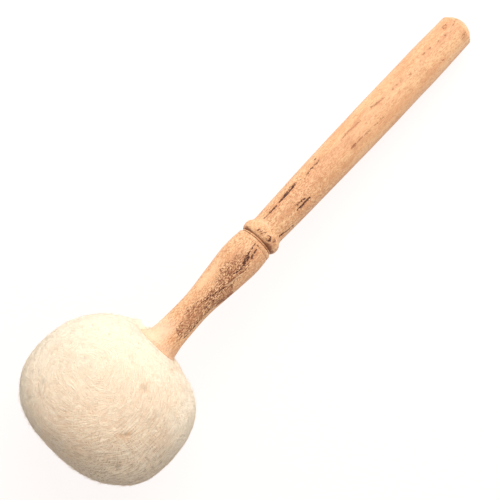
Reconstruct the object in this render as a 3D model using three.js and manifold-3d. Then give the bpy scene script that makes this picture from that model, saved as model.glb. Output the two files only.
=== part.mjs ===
import * as THREE from 'three';
import { mergeVertices } from 'three/addons/utils/BufferGeometryUtils.js';
import Module from 'manifold-3d';

// A singing bowl mallet: a turned wooden handle that carries a large felted wool head.
// Lengths are in millimetres. The mallet lies on the floor, z = 0, on its head and on the end
// of its grip, and +X runs along it from the head to the end of the grip.
// Each outline is drawn along the handle's axis: u is the distance from the handle's foot,
// positive towards the grip, and r is the distance from the axis.

// The head, a ball of wool a little shorter than it is wide, in two layers round a wooden core
const headDiameter = 92;
const headLength = 77.4;
const headFullness = 2.5;
const feltThickness = 9;
const battThickness = 9;
const footSink = 0.9;
const dimpleLipWidth = 3.2;
const floorFlatDepth = 0.5;

// The foot of the handle, a trumpet that presses on the wool
const footDiameter = 22.8;
const footRimHeight = 1.1;
const footRimRounding = 0.45;

// The neck, from the foot to the groove: a waist and then a vase
const neckLength = 76.2;
const waistDiameter = 15.7;
const vaseDiameter = 22.2;
const shoulderDiameter = 20.7;

// The groove under the bead, a fine fillet between two V cuts, and the line scribed below it
const grooveWidth = 1.9;
const grooveDiameter = 18.3;
const grooveFilletDiameter = 19.3;
const grooveFilletWidth = 0.5;
const scribePlace = 3.4;
const scribeWidth = 0.8;
const scribeDepth = 0.3;

// The bead and the small cove that leads from it to the grip
const beadLength = 6.4;
const beadDiameter = 22.3;
const coveLength = 2;

// The grip, which swells and then thins a little to a domed end
const gripLength = 153.6;
const gripStartDiameter = 18.4;
const gripDiameter = 21.2;
const gripEndDiameter = 20;
const domeHeight = 5.5;
const domeEdgeRounding = 0.7;

// The joint inside the head: a stem through the wool, then a wedged tenon through the core
const stemDiameter = 14.6;
const tenonDiameter = 12;
const tenonChamfer = 0.8;
const coreSeatDiameter = 24;
const coreUndersideDiameter = 18;
const kerfLength = 20;
const kerfWidth = 1.4;
const kerfSpread = 1.8;
const wedgeLength = 15;

// Clearances: the gap between fitted pieces, and how far a cutting solid runs past what it cuts
const fitGap = 0.3;
const cutOverrun = 10;

// How the waist swells to the vase: shares of the neck's length and of the swelling
const neckShares = [
  [0.034, 0.71],
  [0.075, 0.42],
  [0.13, 0.24],
  [0.22, 0.1],
  [0.34, 0],
  [0.44, 0.09],
  [0.56, 0.39],
  [0.71, 0.76],
  [0.79, 0.95],
  [0.855, 1],
  [0.92, 0.93],
];
// How the grip swells and thins: shares of its length and of each change of radius
const gripSwellShares = [
  [0.09, 0.26],
  [0.2, 0.48],
  [0.34, 0.71],
  [0.53, 0.93],
  [0.69, 1],
];
const gripThinShares = [
  [0.83, 0.12],
  [0.91, 0.55],
  [1, 1],
];

// Steps along the outlines and round the axis
const handleSides = 40;
const woolSides = 48;
const coreSides = 32;
const neckSteps = 26;
const gripSteps = 22;
const roundSteps = 10;
const smallSteps = 3;
const feltSteps = 20;
const battSteps = 12;
const tiltSteps = 40;

const half = (size) => size / 2;
const point = (r, u) => new THREE.Vector2(r, u);

// Radii and places that follow from the sizes above
const footRadius = half(footDiameter);
const waistRadius = half(waistDiameter);
const vaseRadius = half(vaseDiameter);
const beadRadius = half(beadDiameter);
const gripStartRadius = half(gripStartDiameter);
const gripRadius = half(gripDiameter);
const gripEndRadius = half(gripEndDiameter);
const stemRadius = half(stemDiameter);
const tenonRadius = half(tenonDiameter);
const boreRadius = tenonRadius + fitGap;
const woolHoleRadius = stemRadius + fitGap;
const headCentre = footSink - half(headLength);
const beadStart = neckLength + half(grooveWidth);
const gripStart = beadStart + beadLength;
const gripEnd = gripStart + gripLength;

// The outline of a full, squarish ball: a superellipse, as its radius at a place along the axis
const ball = (inset) => {
  const halfWidth = half(headDiameter) - inset;
  const halfLength = half(headLength) - inset;
  const heightAt = (r) => halfLength * (1 - (r / halfWidth) ** headFullness) ** (1 / headFullness);
  const pointAt = (angle) => {
    const across = Math.abs(Math.cos(angle) / halfWidth) ** headFullness;
    const along = Math.abs(Math.sin(angle) / halfLength) ** headFullness;
    const reach = (across + along) ** (-1 / headFullness);
    return point(reach * Math.cos(angle), headCentre + reach * Math.sin(angle));
  };
  return { heightAt, pointAt };
};

// Points of a ball's outline from its far pole up to the radius r on the handle's side
const ballOutline = (inset, r, steps) => {
  const { heightAt, pointAt } = ball(inset);
  const lastAngle = Math.atan2(heightAt(r), r);
  const points = [point(0, pointAt(-Math.PI / 2).y)];
  for (let step = 1; step <= steps; step += 1) {
    const share = step / steps;
    points.push(pointAt(-Math.PI / 2 + share * (lastAngle + Math.PI / 2)));
  }
  return points;
};

const feltInset = feltThickness;
const battOuterInset = feltThickness + fitGap;
const battInnerInset = feltThickness + battThickness;
const coreInset = battInnerInset + fitGap;
const coreBall = ball(coreInset);
const coreSeat = headCentre + coreBall.heightAt(half(coreSeatDiameter));
const coreUnderside = headCentre - coreBall.heightAt(half(coreUndersideDiameter));
const stemEnd = coreSeat + fitGap;
const tenonEnd = coreUnderside;

// A smooth outline through stations of [place along the axis, radius]
const smooth = (stations, steps) => {
  const curve = new THREE.SplineCurve(stations.map(([u, r]) => point(r, u)));
  return curve.getSpacedPoints(steps);
};

// The neck from the rim of the foot, through the waist, to the shoulder of the vase
const neckOutline = () => {
  const swelling = vaseRadius - waistRadius;
  const rim = [footRimHeight, footRadius - footRimRounding];
  const body = neckShares.map(([place, swell]) => [place * neckLength, waistRadius + swell * swelling]);
  const shoulder = [neckLength - half(grooveWidth), half(shoulderDiameter)];
  return smooth([rim, ...body, shoulder], neckSteps);
};

// The neck with the scribed line cut into it
const scribedNeck = () => {
  const outline = neckOutline();
  const middle = neckLength - scribePlace;
  const low = middle - half(scribeWidth);
  const high = middle + half(scribeWidth);
  const radiusAt = (u) => {
    const after = outline.findIndex((p) => p.y > u);
    const [a, b] = [outline[after - 1], outline[after]];
    return a.x + ((b.x - a.x) * (u - a.y)) / (b.y - a.y);
  };
  const line = [
    point(radiusAt(low), low),
    point(radiusAt(middle) - scribeDepth, middle),
    point(radiusAt(high), high),
  ];
  const below = outline.filter((p) => p.y < low);
  const above = outline.filter((p) => p.y > high);
  return [...below, ...line, ...above];
};

// Two V cuts with a narrow fillet standing between them
const grooveOutline = () => {
  const filletHalf = half(grooveFilletWidth);
  const cutMiddle = (half(grooveWidth) + filletHalf) / 2;
  return [
    point(half(grooveDiameter), neckLength - cutMiddle),
    point(half(grooveFilletDiameter), neckLength - filletHalf),
    point(half(grooveFilletDiameter), neckLength + filletHalf),
    point(half(grooveDiameter), neckLength + cutMiddle),
  ];
};

// The bead, half an ellipse that stands on the groove on one side and on the cove on the other
const beadOutline = () => {
  const foot = (half(grooveFilletDiameter) + gripStartRadius) / 2;
  const curve = new THREE.EllipseCurve(
    foot,
    beadStart + half(beadLength),
    beadRadius - foot,
    half(beadLength),
    -Math.PI / 2,
    Math.PI / 2,
  );
  return curve.getPoints(roundSteps);
};

// The grip, from the cove under the bead to the edge of the dome
const gripOutline = () => {
  const swelling = gripRadius - gripStartRadius;
  const thinning = gripRadius - gripEndRadius;
  const start = [gripStart + coveLength, gripStartRadius];
  const swell = gripSwellShares.map(([place, share]) => [
    gripStart + place * gripLength,
    gripStartRadius + share * swelling,
  ]);
  const thin = gripThinShares.map(([place, share]) => [
    gripStart + place * gripLength,
    gripRadius - share * thinning,
  ]);
  return smooth([start, ...swell, ...thin], gripSteps);
};

// The domed end: a softened edge and then a cap of a sphere that ends on the axis
const domeOutline = () => {
  const capRadius = gripEndRadius - domeEdgeRounding;
  const capStart = gripEnd + domeEdgeRounding;
  const capHeight = domeHeight - domeEdgeRounding;
  const sphereRadius = (capRadius ** 2 + capHeight ** 2) / (2 * capHeight);
  const sphereCentre = capStart + capHeight - sphereRadius;
  const firstAngle = Math.atan2(capStart - sphereCentre, capRadius);
  const edge = new THREE.QuadraticBezierCurve(
    point(gripEndRadius, gripEnd),
    point(gripEndRadius, capStart - domeEdgeRounding / 2),
    point(capRadius, capStart),
  );
  const cap = [];
  for (let step = 1; step < roundSteps; step += 1) {
    const angle = firstAngle + (step / roundSteps) * (Math.PI / 2 - firstAngle);
    cap.push(point(sphereRadius * Math.cos(angle), sphereCentre + sphereRadius * Math.sin(angle)));
  }
  return [...edge.getPoints(smallSteps).slice(1), ...cap, point(0, capStart + capHeight)];
};

// The whole stick, from the end of the tenon to the top of the dome
const handleOutline = () => {
  const rimEdge = new THREE.QuadraticBezierCurve(
    point(footRadius - footRimRounding, 0),
    point(footRadius, 0),
    point(footRadius, footRimRounding),
  );
  return [
    point(0, tenonEnd),
    point(tenonRadius - tenonChamfer, tenonEnd),
    point(tenonRadius, tenonEnd + tenonChamfer),
    point(tenonRadius, stemEnd),
    point(stemRadius, stemEnd),
    point(stemRadius, 0),
    ...rimEdge.getPoints(smallSteps),
    ...scribedNeck(),
    ...grooveOutline(),
    ...beadOutline(),
    ...gripOutline(),
    ...domeOutline(),
  ];
};

// The felted cover: out from the far pole to the dimple under the foot, and back up inside
const feltOutline = () => {
  const lipRadius = footRadius + dimpleLipWidth;
  const outside = ballOutline(0, lipRadius, feltSteps);
  const lip = new THREE.QuadraticBezierCurve(
    outside[outside.length - 1],
    point(footRadius + fitGap, outside[outside.length - 1].y),
    point(footRadius + fitGap, -fitGap),
  );
  const inside = ballOutline(feltInset, woolHoleRadius, battSteps).reverse();
  return [
    ...outside,
    ...lip.getPoints(smallSteps).slice(1),
    point(woolHoleRadius, -fitGap),
    ...inside,
  ];
};

// The loose wool between the cover and the core, open where the stem goes through
const battOutline = () => [
  ...ballOutline(battOuterInset, woolHoleRadius, battSteps),
  ...ballOutline(battInnerInset, woolHoleRadius, battSteps).reverse(),
];

// The core: a wooden knob with a bore for the tenon, a flat seat for the stem and a flat underside
const coreOutline = () => {
  const seatAngle = Math.atan2(coreSeat - headCentre, half(coreSeatDiameter));
  const footAngle = Math.atan2(coreUnderside - headCentre, half(coreUndersideDiameter));
  const side = [];
  for (let step = 0; step <= battSteps; step += 1) {
    side.push(coreBall.pointAt(footAngle + (step / battSteps) * (seatAngle - footAngle)));
  }
  const boreFoot = point(boreRadius, coreUnderside);
  return [boreFoot, ...side, point(boreRadius, coreSeat), boreFoot.clone()];
};

// A solid of revolution about the X axis
const turned = (outline, sides) => new THREE.LatheGeometry(outline, sides).rotateZ(-Math.PI / 2);

// The tilt at which the head's flat and the end of the grip both touch the floor
const handlePoints = handleOutline();
const feltPoints = feltOutline();
const lowest = (outline, tilt) =>
  Math.min(...outline.map((p) => -p.y * Math.sin(tilt) - p.x * Math.cos(tilt)));
const restingTilt = () => {
  let [level, steep] = [0, Math.PI / 4];
  for (let step = 0; step < tiltSteps; step += 1) {
    const middle = (level + steep) / 2;
    const headStandsLower = lowest(feltPoints, middle) + floorFlatDepth < lowest(handlePoints, middle);
    [level, steep] = headStandsLower ? [middle, steep] : [level, middle];
  }
  return level;
};
const tilt = restingTilt();
const headReach = Math.min(...feltPoints.map((p) => p.y * Math.cos(tilt) - p.x * Math.sin(tilt)));
const gripReach = Math.max(...handlePoints.map((p) => p.y * Math.cos(tilt) + p.x * Math.sin(tilt)));
const lying = new THREE.Matrix4()
  .makeTranslation(-(headReach + gripReach) / 2, 0, -lowest(handlePoints, tilt))
  .multiply(new THREE.Matrix4().makeRotationY(tilt));

// Solids for the cuts
const wasm = await Module();
wasm.setup();
const solid = (geometry) => {
  const bare = geometry.clone().deleteAttribute('normal').deleteAttribute('uv');
  const merged = mergeVertices(bare);
  return new wasm.Manifold(
    new wasm.Mesh({
      numProp: 3,
      vertProperties: merged.attributes.position.array,
      triVerts: new Uint32Array(merged.index.array),
    }),
  );
};
const geometryOf = (manifold) => {
  const { vertProperties, triVerts } = manifold.getMesh();
  const geometry = new THREE.BufferGeometry();
  geometry.setAttribute('position', new THREE.BufferAttribute(vertProperties, 3));
  geometry.setIndex(new THREE.BufferAttribute(triVerts, 1));
  geometry.computeVertexNormals();
  return geometry;
};

// A slip of wood tapering along the handle's axis, from one place and thickness to another
const taperedSlip = (fromPlace, fromThickness, toPlace, toThickness, width) => {
  const shape = new THREE.Shape([
    point(fromPlace, -half(fromThickness)),
    point(toPlace, -half(toThickness)),
    point(toPlace, half(toThickness)),
    point(fromPlace, half(fromThickness)),
  ]);
  const slip = new THREE.ExtrudeGeometry(shape, { depth: width, bevelEnabled: false });
  return slip.translate(0, 0, -half(width));
};

// The saw kerf in the tenon, spread by its wedge, widest at the tenon's end
const kerfWidthAt = (depth) => kerfWidth + kerfSpread * (1 - depth / kerfLength);
const makeKerf = () =>
  taperedSlip(
    tenonEnd - cutOverrun,
    kerfWidthAt(-cutOverrun),
    tenonEnd + kerfLength,
    kerfWidth,
    stemDiameter,
  );
const makeWedge = () => {
  const width = 2 * Math.sqrt(tenonRadius ** 2 - half(kerfWidthAt(0)) ** 2);
  return taperedSlip(
    tenonEnd,
    kerfWidthAt(0) - 2 * fitGap,
    tenonEnd + wedgeLength,
    kerfWidthAt(wedgeLength) - 2 * fitGap,
    width,
  );
};

// The floor, as a block that cuts the flat on which the head lies
const makeFloor = () => {
  const span = headLength + neckLength + gripLength + cutOverrun;
  const floor = new THREE.BoxGeometry(span * 2, headDiameter * 2, headDiameter);
  return floor.translate(0, 0, -half(headDiameter));
};

const makeHandle = () => {
  const stick = solid(turned(handlePoints, handleSides));
  return geometryOf(stick.subtract(solid(makeKerf())));
};
const makeFelt = () => {
  const cover = solid(turned(feltPoints, woolSides).applyMatrix4(lying));
  return geometryOf(cover.subtract(solid(makeFloor())));
};

const wood = new THREE.MeshStandardMaterial({ color: 0xe9bd92, roughness: 0.55, metalness: 0 });
const hiddenWood = new THREE.MeshStandardMaterial({ color: 0xd8b48a, roughness: 0.7, metalness: 0 });
const felt = new THREE.MeshStandardMaterial({ color: 0xf8ecd8, roughness: 0.95, metalness: 0 });
const batt = new THREE.MeshStandardMaterial({ color: 0xe9dcc4, roughness: 1, metalness: 0 });

const named = (name, geometry, material) => {
  const mesh = new THREE.Mesh(geometry, material);
  mesh.name = name;
  return mesh;
};

// Everything turned about the handle's axis lies in one tilted group
const laidDown = new THREE.Group();
laidDown.applyMatrix4(lying);
laidDown.add(
  named('handle', makeHandle(), wood),
  named('core_knob', turned(coreOutline(), coreSides), hiddenWood),
  named('tenon_wedge', makeWedge(), hiddenWood),
  named('wool_batt', turned(battOutline(), woolSides), batt),
);

const mallet = new THREE.Group();
mallet.add(laidDown, named('felt_head', makeFelt(), felt));
console.log(`lies at ${THREE.MathUtils.radToDeg(tilt).toFixed(2)} degrees`);
console.log(`reaches ${(gripReach - headReach).toFixed(1)} mm along the floor`);

export default mallet;
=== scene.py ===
# %% [markdown]
# # Dressing a singing bowl mallet
# The real thing is a stick of pale wood, turned by hand, with a ball of felted wool as large as
# a fist. Its sizes are settled already: the measured model is loaded first and stays where it
# is, and we add what makes it look like wood and wool. We work in metres, on a floor at z = 0.

# %% Load the measured model
import math

import bpy
import numpy as np
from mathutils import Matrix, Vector


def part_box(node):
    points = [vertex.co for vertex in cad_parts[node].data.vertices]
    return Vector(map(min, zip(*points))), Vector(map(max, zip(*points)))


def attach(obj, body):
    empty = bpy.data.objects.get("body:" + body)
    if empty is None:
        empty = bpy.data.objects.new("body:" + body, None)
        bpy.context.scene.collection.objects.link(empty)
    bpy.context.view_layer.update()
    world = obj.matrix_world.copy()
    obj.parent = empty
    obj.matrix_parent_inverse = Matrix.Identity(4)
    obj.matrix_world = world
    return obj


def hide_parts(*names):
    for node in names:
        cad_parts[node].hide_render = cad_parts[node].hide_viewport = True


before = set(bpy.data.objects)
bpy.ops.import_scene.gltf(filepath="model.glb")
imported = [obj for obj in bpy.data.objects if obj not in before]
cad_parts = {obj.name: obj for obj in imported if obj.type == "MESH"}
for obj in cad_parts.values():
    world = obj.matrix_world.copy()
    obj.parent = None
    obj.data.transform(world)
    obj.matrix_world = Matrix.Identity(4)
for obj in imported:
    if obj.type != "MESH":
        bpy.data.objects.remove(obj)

MM = 0.001
TURN = 2 * math.pi
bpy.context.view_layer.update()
print("measured pieces:", sorted(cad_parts))

# %% [markdown]
# ## The mallet's own axis
# The stick slopes down to the floor, so we work with a place along it, an angle round it and a
# distance from its axis, and turn those into X, Y and Z at the very end. Two points give the
# axis: the middle of the ball of loose wool, and the top of the dome at the stick's far end.

# %% Find the axis
def vectors_of(piece, what="co"):
    """The places of a piece's points as rows of X, Y and Z, or their normals."""
    flat = np.empty(len(piece.data.vertices) * 3, np.float32)
    piece.data.vertices.foreach_get(what, flat)
    return flat.reshape(-1, 3).astype(float)


head_middle = sum(np.array(corner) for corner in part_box("wool_batt")) / 2
stick_points = vectors_of(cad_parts["handle"])
farthest = np.argmax(np.linalg.norm(stick_points - head_middle, axis=1))
dome_top = stick_points[farthest]
ALONG = (dome_top - head_middle) / np.linalg.norm(dome_top - head_middle)
SIDE = np.array([0, -1, 0])
UP = np.cross(SIDE, ALONG)
slope = math.degrees(math.asin(-ALONG[2]))
print(f"the stick slopes down by {slope:.1f} degrees")


def place(along, angle, radius):
    """Points at a place along the axis, an angle from the top and a distance from the axis."""
    across = np.cos(angle)[..., None] * UP + np.sin(angle)[..., None] * SIDE
    return head_middle + along[..., None] * ALONG + radius[..., None] * across


def axis_places(points):
    """The place along the axis and the distance from it, for each point."""
    offset = points - head_middle
    along = offset @ ALONG
    return along, np.linalg.norm(offset - along[:, None] * ALONG, axis=1)


def turned_from(angle, middle):
    """The angle from middle, between half a turn back and half a turn on."""
    return (angle - middle + math.pi) % TURN - math.pi


# %% [markdown]
# ## The camera
# The picture was taken from straight above, with the mallet lying across it. A lens that sees
# 23.5 degrees, from 67 cm up, gives the head the same slight swelling, because the head is the
# part nearest to the camera.

# %% Put up the camera
CAMERA_HEIGHT = 0.67
CAMERA_PLACE = (-0.0123, -0.0002)
LENS = 86.4
SENSOR = 36
MALLET_TURN = math.radians(46.7)


def put(name, data):
    """Sets a new object down in the scene: a piece, a lamp or the camera."""
    thing = bpy.data.objects.new(name, data)
    bpy.context.scene.collection.objects.link(thing)
    return thing


camera = put("camera", bpy.data.cameras.new("camera"))
camera.data.lens = LENS
camera.data.sensor_width = SENSOR
camera.location = (*CAMERA_PLACE, CAMERA_HEIGHT)
camera.rotation_euler = (0, 0, -MALLET_TURN)
bpy.context.scene.camera = camera
print(f"camera {CAMERA_HEIGHT} m up")

# %% [markdown]
# ## Noise that repeats
# Wood and wool are never even, so nearly every surface here is moved or coloured by noise. For
# whole meshes at once we keep our own: a block of seeded random numbers, read between its
# corners with a smooth step. The same seed gives the same mallet each time.

# %% Make the noise
NOISE_BLOCK = 32


def noise(points, size, seed):
    """Smooth noise from -1 to 1 at each point. size is the width of one bump."""
    block = np.random.default_rng(seed).uniform(-1, 1, NOISE_BLOCK**3)
    spot = points / size
    low = np.floor(spot).astype(int)
    part = spot - low
    part = part * part * (3 - 2 * part)
    total = np.zeros(len(points))
    ends = [(low[:, k] % NOISE_BLOCK, (low[:, k] + 1) % NOISE_BLOCK) for k in range(3)]
    weights = [(1 - part[:, k], part[:, k]) for k in range(3)]
    for corner in range(8):
        x, y, z = corner & 1, corner >> 1 & 1, corner >> 2 & 1
        cell = (ends[0][x] * NOISE_BLOCK + ends[1][y]) * NOISE_BLOCK + ends[2][z]
        total += weights[0][x] * weights[1][y] * weights[2][z] * block[cell]
    return total


def rough_noise(points, size, seed, layers=3):
    """Several sizes of noise laid over each other, each half the size and half the strength."""
    total = np.zeros(len(points))
    for layer in range(layers):
        total += noise(points, size / 2**layer, seed + layer) / 2**layer
    return total


def fade(value, start, end):
    """0 before start, 1 after end, and a smooth step between them."""
    share = np.clip((value - start) / (end - start), 0, 1)
    return share * share * (3 - 2 * share)


def band(value, start, end, stop, gone):
    """0 before start, 1 from end to stop, and 0 again after gone."""
    return fade(value, start, end) * (1 - fade(value, stop, gone))


# %% [markdown]
# ## Skinning rings
# The stick, the head and the ball of loose wool are rings of points, one after another along the
# axis, with a ring of no width at either end. One function turns them into a mesh. The sign of
# its volume says whether its faces look outwards, and turns them if they don't.

# %% Make meshes from rings
def filled_mesh(name, points, face_groups):
    """A mesh from points and from groups of faces, each group an array with one face a row."""
    loops = np.concatenate([group.ravel() for group in face_groups])
    sizes = np.concatenate([np.full(len(group), group.shape[1]) for group in face_groups])
    starts = np.concatenate([[0], np.cumsum(sizes)[:-1]])
    mesh = bpy.data.meshes.new(name)
    mesh.vertices.add(len(points))
    mesh.vertices.foreach_set("co", points.astype(np.float32).ravel())
    mesh.loops.add(len(loops))
    mesh.loops.foreach_set("vertex_index", loops.astype(np.int32))
    mesh.polygons.add(len(sizes))
    mesh.polygons.foreach_set("loop_start", starts.astype(np.int32))
    mesh.update(calc_edges=True)
    mesh.validate()
    mesh.shade_smooth()
    piece = put(name, mesh)
    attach(piece, "root")
    print(f"{name}: {len(sizes)} faces")
    return piece


def once(values, sides):
    """The values of all ring points as a closed mesh has them: the end rings count once."""
    return np.concatenate([values[:1], values[sides:-sides], values[-1:]])


def ring_mesh(name, ring_points, sides):
    """A closed mesh through rings of points, of which the first and the last have no width."""
    points = once(ring_points, sides)
    first = 1 + np.arange(len(ring_points) // sides - 2)[:, None] * sides
    here = np.arange(sides)
    after = (here + 1) % sides
    low, high = first[:-1], first[1:]
    corners = [low + here, low + after, high + after, high + here]
    quads = np.stack(corners, axis=-1).reshape(-1, 4)
    last = np.full(sides, len(points) - 1)
    fan = np.stack([np.zeros(sides, int), 1 + after, 1 + here], axis=-1)
    cap = np.stack([last, first[-1] + here, first[-1] + after], axis=-1)
    a, b, c, d = np.moveaxis(points[quads] - head_middle, 1, 0)
    volume = np.sum(a * (np.cross(b, c) + np.cross(c, d)))
    groups = [quads, fan, cap]
    if volume < 0:
        groups = [group[:, ::-1] for group in groups]
    return filled_mesh(name, points, groups)


# %% Lay rings out and store numbers on them
def spread(along, radius, sides):
    """The place, the angle and the radius of every point of the rings, as three flat arrays."""
    angles = np.linspace(0, TURN, sides, endpoint=False)
    return np.repeat(along, sides), np.tile(angles, len(along)), np.repeat(radius, sides)


def outward_way(along, radius, sides):
    """The way out of the skin at every ring point: along the axis and away from it."""
    step_u, step_r = np.gradient(along), np.gradient(radius)
    steep = np.hypot(step_u, step_r) + 1e-12
    return np.repeat(-step_r / steep, sides), np.repeat(step_u / steep, sides)


def give(piece, marks, sides=0):
    """Stores numbers, or vectors, for each point of a piece, for its material to read."""
    for name, values in marks.items():
        values = once(values, sides) if sides else values
        kind, field = ("FLOAT", "value") if values.ndim == 1 else ("FLOAT_VECTOR", "vector")
        layer = piece.data.attributes.new(name, kind, "POINT")
        layer.data.foreach_set(field, values.astype(np.float32).ravel())


# %% [markdown]
# ## The outline of the stick
# The fine stick has to sit where the measured one sits, so its outline is read from that: each
# of its rings gives one place and one radius. Between them runs a curve that never swings past
# its own points, so that the groove and the bead keep their crisp corners. Inside the head the
# stick goes on as a stem, and as a thinner tenon that runs through a knob.

# %% Read the outline
RING_GAP = 0.02 * MM
FOOT_LEAST_RADIUS = 10 * MM

along, radius = axis_places(stick_points)
order = np.argsort(along)
along, radius = along[order], radius[order]
ring = np.cumsum(np.concatenate([[0], np.diff(along) > RING_GAP]))
places = np.array([along[ring == k].mean() for k in range(ring[-1] + 1)])
widths = np.array([radius[ring == k].max() for k in range(ring[-1] + 1)])
foot_ring = np.argmax(widths > FOOT_LEAST_RADIUS)
foot_place, foot_radius = places[foot_ring], widths[foot_ring]
stem_start, stem_radius = places[foot_ring - 1], widths[foot_ring - 1]
tenon_end, tenon_radius = places[0], widths[1]
outline = np.stack([places[foot_ring:], widths[foot_ring:]], axis=1)
outline[-1, 1] = 0
print(f"{len(outline)} rings in view; the foot is {foot_place / MM:.1f} mm from the head's middle")


def smooth_through(at, values, wanted):
    """A curve through values at the places at, which never swings past them."""
    step = np.diff(at)
    rise = np.diff(values) / step
    tilt = np.zeros(len(at))
    same = rise[:-1] * rise[1:] > 0
    tilt[1:-1][same] = 2 / (1 / rise[:-1][same] + 1 / rise[1:][same])
    tilt[0], tilt[-1] = rise[0], rise[-1]
    k = np.clip(np.searchsorted(at, wanted) - 1, 0, len(step) - 1)
    s = (wanted - at[k]) / step[k]
    bend_in = (1 + 2 * s) * (1 - s) ** 2 * values[k] + s * (1 - s) ** 2 * step[k] * tilt[k]
    bend_out = s**2 * (3 - 2 * s) * values[k + 1] + s**2 * (s - 1) * step[k] * tilt[k + 1]
    return bend_in + bend_out


# %% [markdown]
# Rings stand close together where the lathe cut fine details, and further apart on the grip.

# %% Spread the rings
CLOSE_STEP = 0.24 * MM
WIDE_STEP = 0.6 * MM
DETAILS = ((0, 1.6), (66, 84))
WALK_POINTS = 8000
walked = np.concatenate([[0], np.cumsum(np.linalg.norm(np.diff(outline, axis=0), axis=1))])
walk = np.linspace(0, walked[-1], WALK_POINTS)
walk_along = (smooth_through(walked, outline[:, 0], walk) - foot_place) / MM
rings_per_metre = np.full(len(walk), 1 / WIDE_STEP)
for low, high in DETAILS:
    rings_per_metre[(walk_along > low) & (walk_along < high)] = 1 / CLOSE_STEP
ring_count = np.cumsum(rings_per_metre) * (walk[1] - walk[0])
stations = np.interp(np.arange(int(ring_count[-1]) + 1), ring_count, walk)
stations[-1] = walked[-1]
fine_along = smooth_through(walked, outline[:, 0], stations)
fine_radius = smooth_through(walked, outline[:, 1], stations)
print(f"{len(fine_along)} rings in view")

# %% [markdown]
# The real foot ends in a thin lip that flares, and past the bead the cove runs out softly into
# the grip, where hands have rubbed it. Both are too slight for the measured model and are laid
# over its outline here. Behind the lip the foot is undercut, and the stem goes on from it.

# %% Flare the foot, soften the cove and add the hidden part
FOOT_FLARE = 0.5 * MM
FLARE_LENGTH = 4.5 * MM
FLARE_CURVE = 2.2
LIP_THICK = 1.3 * MM
COVE = (82.2 * MM, 83.6 * MM, 90 * MM, 96 * MM)
SOFT_REACH = 1.3 * MM
BEVEL_DEPTH = 1.2 * MM
BEVEL_WIDTHS = (2.2 * MM, 0.9 * MM)
HIDDEN_STEP = 3 * MM


def flared(height):
    """How much of the foot's flare there is at a height above its rim, from 1 to 0."""
    return (1 - fade(height - LIP_THICK, 0, FLARE_LENGTH)) ** FLARE_CURVE


def evened(along, radius, reach, steps, at):
    """The outline's radius at each place, evened out over a reach to both sides."""
    shifts = np.linspace(-reach, reach, steps)
    return np.mean([np.interp(at + shift, along, radius) for shift in shifts], 0)


fine_radius = fine_radius + FOOT_FLARE * flared(fine_along - foot_place)
rim_radius = foot_radius + FOOT_FLARE
soft_radius = evened(fine_along, fine_radius, SOFT_REACH, 9, fine_along)
in_cove = band(fine_along - foot_place, *COVE)
fine_radius = fine_radius + (soft_radius - fine_radius) * in_cove
hidden = [
    (tenon_end, 0),
    (tenon_end, widths[0]),
    (places[1], tenon_radius),
    (stem_start, tenon_radius),
    (stem_start, stem_radius),
    (foot_place - BEVEL_DEPTH, stem_radius),
    (foot_place - BEVEL_DEPTH, rim_radius - BEVEL_WIDTHS[0]),
    (foot_place - 0.6 * BEVEL_DEPTH, rim_radius - BEVEL_WIDTHS[1]),
    (foot_place, rim_radius),
]
hidden_rings = []
for (a0, r0), (a1, r1) in zip(hidden[:-1], hidden[1:]):
    parts = max(int(math.hypot(a1 - a0, r1 - r0) / HIDDEN_STEP), 1)
    hidden_rings += [(a0 + (a1 - a0) * k / parts, r0 + (r1 - r0) * k / parts) for k in range(parts)]
stick_along = np.concatenate([[a for a, r in hidden_rings], fine_along])
stick_radius = np.concatenate([[r for a, r in hidden_rings], fine_radius])

SIDES = 196
stick_u, stick_a, stick_r = spread(stick_along - foot_place, stick_radius, SIDES)
space = np.stack([stick_u, stick_r * np.sin(stick_a), stick_r * np.cos(stick_a)], axis=1)
turned = np.degrees(turned_from(stick_a, 0))
print(f"{len(stick_along)} rings for the fine stick")

# %% [markdown]
# ## Marks in the wood
# A hand-made stick is full of small faults: drying cracks along the grain, a knot in the bead,
# and a speckled patch on the neck, left by the bark side of the branch. They are real hollows,
# so they are cut into the mesh, and the same numbers darken the material. A crack is a row: the
# place along the stick from the foot (mm) and the angle from the top (degrees, positive towards
# -Y) of its two ends, then its width and its depth (mm). A ridge is written in the same way,
# but stands proud.

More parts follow.
